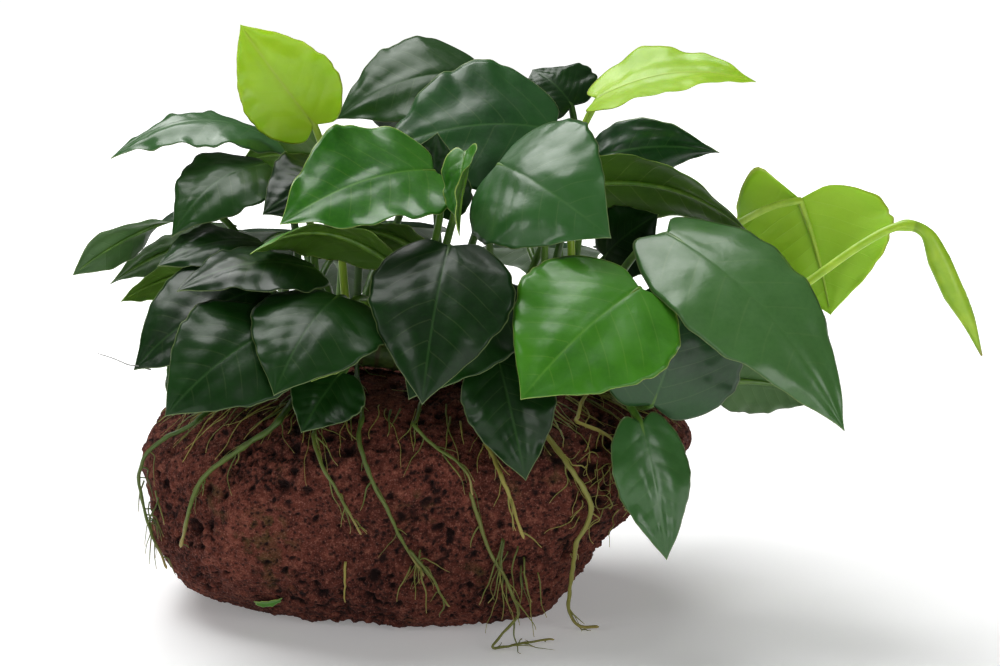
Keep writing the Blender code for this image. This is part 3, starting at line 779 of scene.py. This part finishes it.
def wander(random, stone, start, way, length, radius, cling, drop=0.12, curl=0.35):
    """A thin strand that creeps over the stone or hangs beside it."""
    step = 1.1 * MM
    points = [start]
    way = way.normalized()
    for _ in range(max(3, int(length / step))):
        push = Vector(random.normal(0, 1, 3))
        way = (way + push * curl * 0.5 + Vector((0, 0, -drop))).normalized()
        point = points[-1] + way * step
        spot, normal, _, _ = stone.find_nearest(point)
        height = (point - spot).dot(normal)
        if cling or height < radius * 0.7:
            point = spot + normal * (radius * 0.6)
            way = (way - normal * min(0.0, way.dot(normal))).normalized()
        point.z = max(point.z, radius)
        points.append(point)
    smooth = [points[0]] + [(a + b * 2 + c) / 4 for a, b, c in zip(points, points[1:], points[2:])] + [points[-1]]
    return smooth


def add_strand(skin, points, radius, sides, tint, end=0.35, begin=0.0):
    """A tapering strand as one closed shell."""
    places = np.linspace(0, 1, len(points))
    radii = radius * (1 - (1 - end) * places)
    rings, ways = tube_rings(points, radii.tolist(), sides)
    values = {"along": (begin + (1 - begin) * places)[:, None], "tint": tint}
    skin.add(rings, points[0], points[-1] + ways[-1] * radii[-1], 0, values)


ROOT_TINTS = {
    "root_left_edge": 0.0, "root_left_front": 0.0, "root_front_short": 0.15, "root_front_long": 0.1,
    "root_front_fork": 0.35, "root_middle_dark": 0.1, "root_pale_thick": 0.9, "root_trailing": 0.45,
    "root_right_long": 0.6, "root_right_pale": 1.0,
}


ROOT_PARENTS = {"root_front_fork": "root_front_long", "root_trailing": "root_middle_dark"}


def way_back(stone, start, way, targets):
    """Points over the stone from the nearest of the targets to a root's first point."""
    target = min(targets, key=lambda p: (p - start).length)
    count = max(3, int((target - start).length / (3 * MM)))
    points = []
    for i in range(count):
        t = i / count
        point = target.lerp(start, t) - way * (sin(pi * t) * 2 * MM)
        spot, normal, _, _ = stone.find_nearest(point)
        points.append(point if (point - spot).dot(normal) > 0.8 * MM else spot + normal * (0.8 * MM))
    return points


def grow_roots(stone, green):
    """The main roots from where they leave the stem, each with its side rootlets."""
    random = np.random.default_rng(5)
    stems = []
    for node in SLOTS:
        if node.startswith("rhizome"):
            stems += read_tube(node, RHIZOME_SIDES)[0]
    roots = [node for node in SLOTS if node.startswith("root_")]
    routes = {}
    for number, node in enumerate(roots):
        points, radii, tip = read_tube(node, ROOT_SIDES)
        routes[node] = points
        begin = (points[1] - points[0]).normalized()
        targets = routes[ROOT_PARENTS[node]] if node in ROOT_PARENTS else stems
        back = way_back(stone, points[0], begin, targets)
        points = back + points
        radii = [radii[0]] * len(back) + radii
        route, places = smooth_through([*points, tip], 1.0 * MM)
        widths = np.interp(places, range(len(points) + 1), [*radii, 0.4 * radii[-1]])
        wiggled = []
        for i, point in enumerate(route):
            shake = noise.noise_vector(Vector((i * 0.11, number * 3.7, 0.0))) * (0.7 * MM)
            shake += noise.noise_vector(Vector((i * 0.32, number * 5.1, 4.0))) * (0.25 * MM)
            point = point + shake
            point.z = max(point.z, 0.5 * MM)
            wiggled.append(point)
        knots = [0.80 + 0.24 * noise.noise(Vector((i * 0.28, number, 5.0))) for i in range(len(route))]
        skin = Skin()
        rings, ways = tube_rings(wiggled, (widths * np.array(knots)).tolist(), 10)
        along = np.linspace(0, 1, len(route))
        skin.add(rings, wiggled[0], wiggled[-1] + ways[-1] * widths[-1], 0,
                 {"along": along[:, None], "tint": ROOT_TINTS[node]})
        for _ in range(int(len(route) / 6)):
            i = int(random.integers(3, len(route) - 2))
            way = ways[i].copy()
            way.rotate(Quaternion(Vector(random.normal(0, 1, 3)).normalized(), random.uniform(0.5, 1.2)))
            radius = float(random.uniform(0.16, 0.36)) * MM
            length = float(random.uniform(5, 17)) * MM
            spot, normal, _, _ = stone.find_nearest(wiggled[i])
            cling = (wiggled[i] - spot).length < 4 * MM
            strand = wander(random, stone, wiggled[i].copy(), way, length, radius, cling)
            add_strand(skin, strand, radius, 6, ROOT_TINTS[node] * 0.6 + random.uniform(0.1, 0.4), 0.3, 0.3)
        placed(skin.into_object(node + "_grown", [green]), "root", node)


def on_front(stone, x_share, z_share):
    """The place on the stone's front face at shares of its box, and the way out of the stone."""
    low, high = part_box("stone")
    x = low.x + (high.x - low.x) * x_share
    z = low.z + (high.z - low.z) * z_share
    spot, normal, _, _ = stone.ray_cast(Vector((x, low.y - 0.05, z)), Vector((0, 1, 0)))
    return spot, normal


def fine_strands(stone, green):
    """Rootlets, hairs and tangles on the stone's sides."""
    low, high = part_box("stone")
    random = np.random.default_rng(11)

    # rootlets that leave the crown under the leaves and creep down every side
    skin = Skin()
    top = Vector(((low.x + high.x) / 2, (low.y + high.y) / 2, high.z))
    for number in range(150):
        angle = random.uniform(0, 2 * pi)
        if number % 2:
            angle = random.uniform(1.05, 1.95) * pi
        way = Vector((cos(angle) * 1.5, sin(angle), 0)).normalized()
        begin = top + Vector((way.x * (high.x - low.x) * 0.36, way.y * (high.y - low.y) * 0.36, 0))
        spot, _, _, _ = stone.find_nearest(begin + Vector((0, 0, random.uniform(-18, 4) * MM)))
        radius = float(random.uniform(0.14, 0.42)) * MM
        length = float(random.uniform(10, 34)) * MM
        strand = wander(random, stone, spot, way + Vector((0, 0, -0.5)), length, radius, True, 0.22)
        add_strand(skin, strand, radius, 6, random.uniform(0.1, 1.0), 0.35, random.uniform(0, 0.4))
    placed(skin.into_object("rootlets_crown", [green]), "root")

    # a tangle of yellow fibres under the right-hand leaves
    skin = Skin()
    for number in range(26):
        spot, normal = on_front(stone, random.uniform(0.77, 0.86), random.uniform(0.50, 0.78))
        if spot is None:
            continue
        way = Vector(random.normal(0, 1, 3)) + Vector((0, 0, -0.6))
        radius = float(random.uniform(0.12, 0.30)) * MM
        strand = wander(random, stone, spot, way, float(random.uniform(8, 24)) * MM, radius, number % 3 > 0, 0.10, 0.9)
        add_strand(skin, strand, radius, 5, random.uniform(0.6, 1.0), 0.4, 0.4)
    placed(skin.into_object("rootlets_tangle", [green]), "root")

    # thin strands that hang beside the trailing root and the left-hand edge
    skin = Skin()
    for x_share, z_share, length, count in ((0.66, 0.42, 26, 7), (0.69, 0.30, 22, 5), (0.03, 0.50, 20, 5),
                                            (0.01, 0.28, 14, 4), (0.50, 0.36, 18, 4)):
        for _ in range(count):
            spot, normal = on_front(stone, x_share + random.uniform(-0.02, 0.02), z_share + random.uniform(-0.06, 0.06))
            if spot is None:
                continue
            radius = float(random.uniform(0.18, 0.38)) * MM
            way = Vector((random.uniform(-0.4, 0.4), -0.6, -1))
            reach = length * MM * float(random.uniform(0.6, 1.1))
            strand = wander(random, stone, spot, way, reach, radius, False, 0.16, 0.3)
            add_strand(skin, strand, radius, 6, random.uniform(0.2, 0.7), 0.4, 0.2)
    placed(skin.into_object("rootlets_hanging", [green]), "root")


def small_litter(stone, green, materials):
    """A grey hair at the left, a scrap of leaf at the stone's foot and a dead root stub."""
    random = np.random.default_rng(23)

    # the hair, caught on the tip of the leftmost hanging leaf
    leaf = read_leaf("leaf_left_outer")
    begin = leaf.base + leaf.reach * 0.95
    skin = Skin()
    points = []
    for i in range(HAIR_STEPS + 1):
        t = i / HAIR_STEPS
        sway = noise.noise_vector(Vector((t * 2.0, 7.0, 2.0))) * (3 * MM)
        points.append(begin + HAIR_REACH * (t - 0.2) + sway * sin(pi * t))
    add_strand(skin, points, HAIR_RADIUS, 5, 1.0, 0.5, 0.5)
    r = Recipe("grey_hair")
    r.set(Base_Color=(0.20, 0.20, 0.18, 1), Roughness=0.7)
    placed(skin.into_object("hair_caught", [r.material]), "root")

    # the scrap: a small torn blade that lies on the stone near its foot
    spot, normal = on_front(stone, SCRAP_PLACE[0], SCRAP_PLACE[1])
    along = (Vector((1, 0, 0.35)) - normal * normal.x).normalized()
    lying = Leaf([], spot + normal * MM, along * SCRAP_LENGTH, normal * (0.1 * SCRAP_LENGTH), normal,
                 0.45 * SCRAP_LENGTH, 0.15, 0.3, 0.0)
    skin = Skin()
    blade_shell(skin, lying, 61, 0.15, 1.0, 0.1)
    placed(skin.into_object("leaf_scrap", materials["leaf_fresh"][:2]), "leaf_fresh")

    # the stub: a short dead root, yellow, that clings to the stone's lower front
    spot, normal = on_front(stone, STUB_PLACE[0], STUB_PLACE[1])
    skin = Skin()
    strand = wander(random, stone, spot, Vector((-0.15, -0.2, -1)), STUB_LENGTH, STUB_RADIUS, True, 0.2, 0.2)
    add_strand(skin, strand, STUB_RADIUS, 8, 1.0, 0.5, 0.9)
    placed(skin.into_object("root_stub", [green]), "root")


def grow_rhizomes():
    """The creeping stems, ringed by the scars of old leaves."""
    r = Recipe("rhizome_bark")
    mottle = r.noise(160, 4, 0.6)
    colour = r.mix(r.between(mottle, 0.3, 0.7), (0.055, 0.110, 0.018), (0.130, 0.200, 0.040))
    colour = r.mix(r.between(r.value("scar"), 0.3, 0.9, 0.0, 0.8), colour, (0.090, 0.060, 0.025))
    r.set(Base_Color=colour, Roughness=r.between(mottle, 0.3, 0.7, 0.45, 0.65))
    r.set(Normal=r.bump(r.noise(500, 4), 0.5, 0.0008))
    for number, node in enumerate(n for n in SLOTS if n.startswith("rhizome")):
        points, radii, tip = read_tube(node, RHIZOME_SIDES)
        route, places = smooth_through([*points, tip], 0.8 * MM)
        widths = np.interp(places, range(len(points) + 1), [*radii, 0.4 * radii[-1]])
        scars = np.array([0.5 + 0.5 * cos(2 * pi * i / 7.5) for i in range(len(route))]) ** 6
        widths = widths * (0.94 + 0.08 * scars)

        def outline(i, angle):
            return 1 + 0.05 * noise.noise(Vector((cos(angle) * 1.5, sin(angle) * 1.5, i * 0.25 + 9 * number)))

        rings, ways = tube_rings(route, widths.tolist(), 24, outline)
        skin = Skin()
        skin.add(rings, route[0], route[-1] + ways[-1] * widths[-1] * 0.5, 0, {"scar": scars[:, None]})
        placed(skin.into_object(node + "_grown", [r.material]), "rhizome", node)


# ---------------------------------------------------------------- floor, light and camera
def set_stage():
    bpy.ops.mesh.primitive_plane_add(size=40)
    floor = bpy.context.object
    floor.name = "floor"
    r = Recipe("pale_floor")
    away = r.node("ShaderNodeVectorMath", {"operation": "LENGTH"})
    r.put(away.inputs[0], r.place)
    r.set(Base_Color=(0.92, 0.92, 0.92, 1), Roughness=0.85, Specular_IOR_Level=0.1)
    r.set(Emission_Color=(1, 1, 1, 1), Emission_Strength=r.between(away.outputs["Value"], 0.12, 1.4, 0.20, 0.95))
    floor.data.materials.append(r.material)

    world = bpy.data.worlds.new("studio")
    world.use_nodes = True
    nodes = world.node_tree.nodes
    links = world.node_tree.links
    coordinates = nodes.new("ShaderNodeTexCoord")
    split = nodes.new("ShaderNodeSeparateXYZ")
    ramp = nodes.new("ShaderNodeMapRange")
    ramp.interpolation_type = "SMOOTHSTEP"
    for i, number in enumerate((0, 0.05, 0.9, 0.025, 0.15)):
        if i:
            ramp.inputs[i].default_value = number
    links.new(coordinates.outputs["Generated"], split.inputs[0])
    links.new(split.outputs["Z"], ramp.inputs[0])
    links.new(ramp.outputs[0], nodes["Background"].inputs["Strength"])
    nodes["Background"].inputs["Color"].default_value = (1, 1, 1, 1)
    bpy.context.scene.world = world

    for name, place, size, power in (("key", (-0.45, 0.42, 1.5), 1.3, 32),
                                     ("right", (1.0, -1.5, 0.6), 0.8, 8),
                                     ("left", (-1.3, -1.1, 0.6), 0.5, 4)):
        light = bpy.data.lights.new(name, "AREA")
        light.size = size
        light.energy = power
        lamp = bpy.data.objects.new(name, light)
        lamp.location = place
        lamp.rotation_mode = "QUATERNION"
        lamp.rotation_quaternion = (Vector((0, 0, 0.09)) - Vector(place)).to_track_quat("-Z", "Y")
        bpy.context.scene.collection.objects.link(lamp)


def set_camera():
    """A short telephoto view from a little above."""
    target = Vector((0.031, 0.0, 0.093))
    elevation = radians(10)
    distance = 0.811
    data = bpy.data.cameras.new("camera")
    data.lens = 85
    data.sensor_width = 36
    camera = bpy.data.objects.new("camera", data)
    camera.location = target + Vector((0, -cos(elevation), sin(elevation))) * distance
    camera.rotation_mode = "QUATERNION"
    camera.rotation_quaternion = (target - camera.location).to_track_quat("-Z", "Y")
    bpy.context.scene.collection.objects.link(camera)
    bpy.context.scene.camera = camera
    bpy.context.scene.view_settings.view_transform = "Standard"


stone_surface = make_stone()
green_root = root_material("root_skin", (0.018, 0.070, 0.004), (0.085, 0.125, 0.012), (0.300, 0.240, 0.070))
finishes = leaf_materials()
grow_leaves(finishes)
furl_leaf(finishes)
grow_rhizomes()
grow_roots(stone_surface, green_root)
fine_strands(stone_surface, green_root)
small_litter(stone_surface, green_root, finishes)
set_stage()
set_camera()
